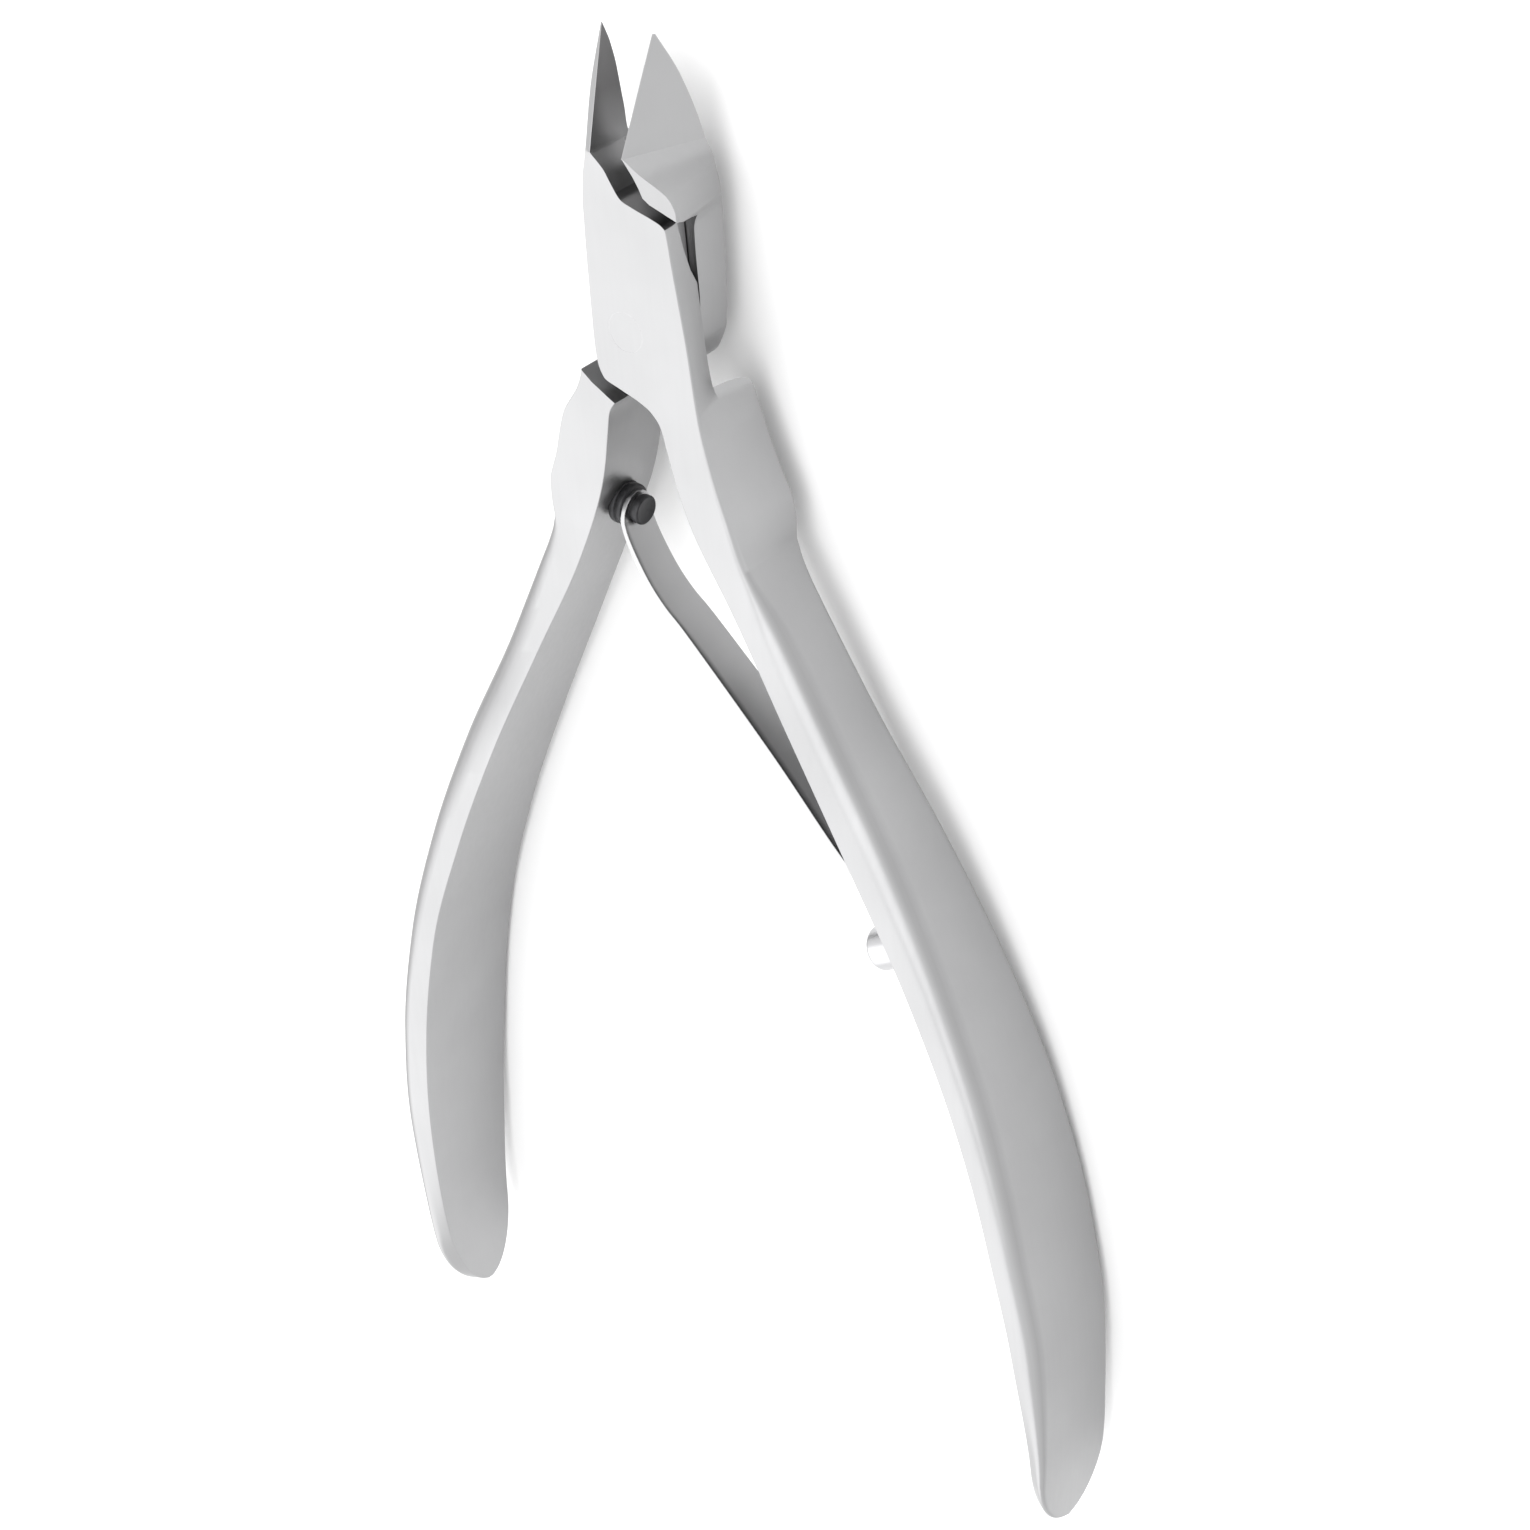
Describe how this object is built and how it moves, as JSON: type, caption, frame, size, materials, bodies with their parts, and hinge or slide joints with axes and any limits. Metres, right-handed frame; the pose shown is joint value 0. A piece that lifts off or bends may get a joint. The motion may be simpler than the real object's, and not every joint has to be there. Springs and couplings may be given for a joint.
{
  "type": "cuticle nipper",
  "caption": "Hand nipper with a lap joint, two bowed handles, narrow pointed jaws and a leaf spring that holds it open.",
  "frame": {"origin": "middle of the box that holds the open nipper, on the surface it lies on", "axes": "+Z along the pivot, towards the plate that lies in front; +Y towards the jaws; +X towards the front half's handle"},
  "size_m": [0.0654, 0.12, 0.0103],
  "materials": {
    "satin_steel": "satin ground stainless steel",
    "rivet_steel": "ground flush with the joint's faces",
    "spring_steel": "polished spring strip",
    "black_steel": "black oxide",
    "bright_steel": "turned bright steel"
  },
  "bodies": {
    "front_half": {"front_half": "satin_steel", "pivot_rivet": "rivet_steel", "stop_stud": "bright_steel"},
    "back_half": {"back_half": "satin_steel", "spring_screw": "black_steel", "spring_washer": "black_steel"},
    "spring": {"spring_leaf": "spring_steel"}
  },
  "joints": [
    {"name": "pivot", "type": "hinge", "parent": "front_half", "child": "back_half", "pos_m": [0, 0.03737, 0.00514], "axis": [0, 0, 1], "range_deg": [0, 12], "stiffness_Nm_per_rad": 0.5},
    {"name": "leaf_flex", "type": "hinge", "parent": "back_half", "child": "spring", "pos_m": [-0.00381, 0.02068, 0.00514], "axis": [0, 0, 1], "range_deg": [-17, 0], "deforming": ["spring_leaf"]}
  ],
  "couplings": [
    {"joint": "leaf_flex", "follows": "pivot", "ratio": -1.4}
  ]
}
